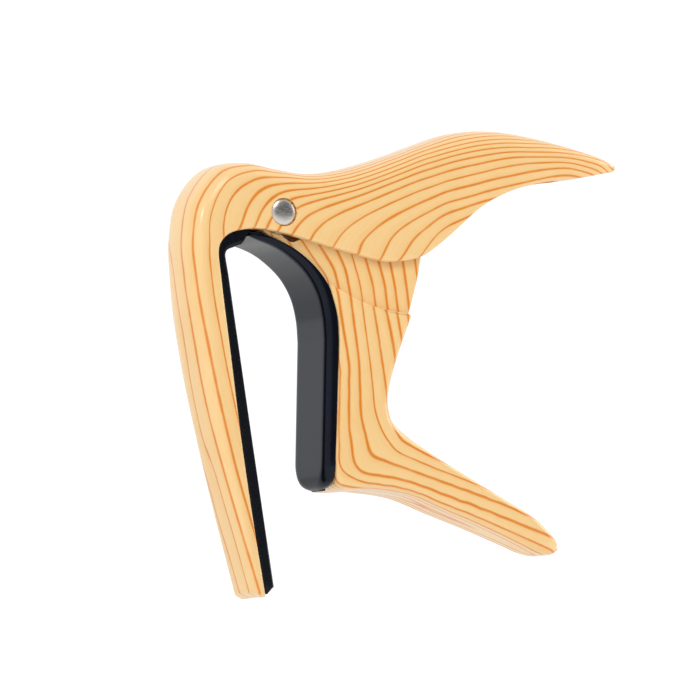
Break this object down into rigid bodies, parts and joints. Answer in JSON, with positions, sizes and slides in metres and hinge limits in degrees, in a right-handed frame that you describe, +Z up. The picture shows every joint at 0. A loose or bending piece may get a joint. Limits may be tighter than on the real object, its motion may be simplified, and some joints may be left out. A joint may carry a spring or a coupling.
{
  "type": "guitar capo",
  "caption": "Spring-loaded trigger guitar capo with a straight flat bar, silicone pads, a riveted hinge and squeeze handles in a wood-look finish",
  "frame": {"origin": "the middle of the string pad's flat contact face", "axes": "+X from the bar towards the handles, +Y along the pivot pin, +Z up from the bar's tip towards the arch"},
  "size_m": [0.091, 0.0154, 0.089],
  "materials": {
    "wood_finish": "cast aluminium under a printed pine-grain film and clear gloss lacquer",
    "black_silicone": "moulded black silicone rubber with a smooth satin skin",
    "satin_nickel": "satin nickel-plated steel",
    "spring_steel": "drawn spring wire, lightly oiled",
    "nylon": "natural nylon"
  },
  "bodies": {
    "bar": {"bar_jaw": "wood_finish", "string_pad": "black_silicone", "pivot_pin": "satin_nickel", "pivot_cap": "satin_nickel", "torsion_spring": "spring_steel", "spring_sleeve": "nylon", "thrust_washer_front": "nylon", "thrust_washer_rear": "nylon"},
    "neck": {"neck_jaw": "wood_finish", "neck_pad": "black_silicone"}
  },
  "joints": [
    {"name": "squeeze_hinge", "type": "hinge", "parent": "bar", "child": "neck", "pos_m": [0.0059, 0, 0.04], "axis": [0, -1, 0], "range_deg": [0, 22], "stiffness_Nm_per_rad": 1.3, "springref_deg": -28.65, "deforming": ["torsion_spring"]}
  ]
}
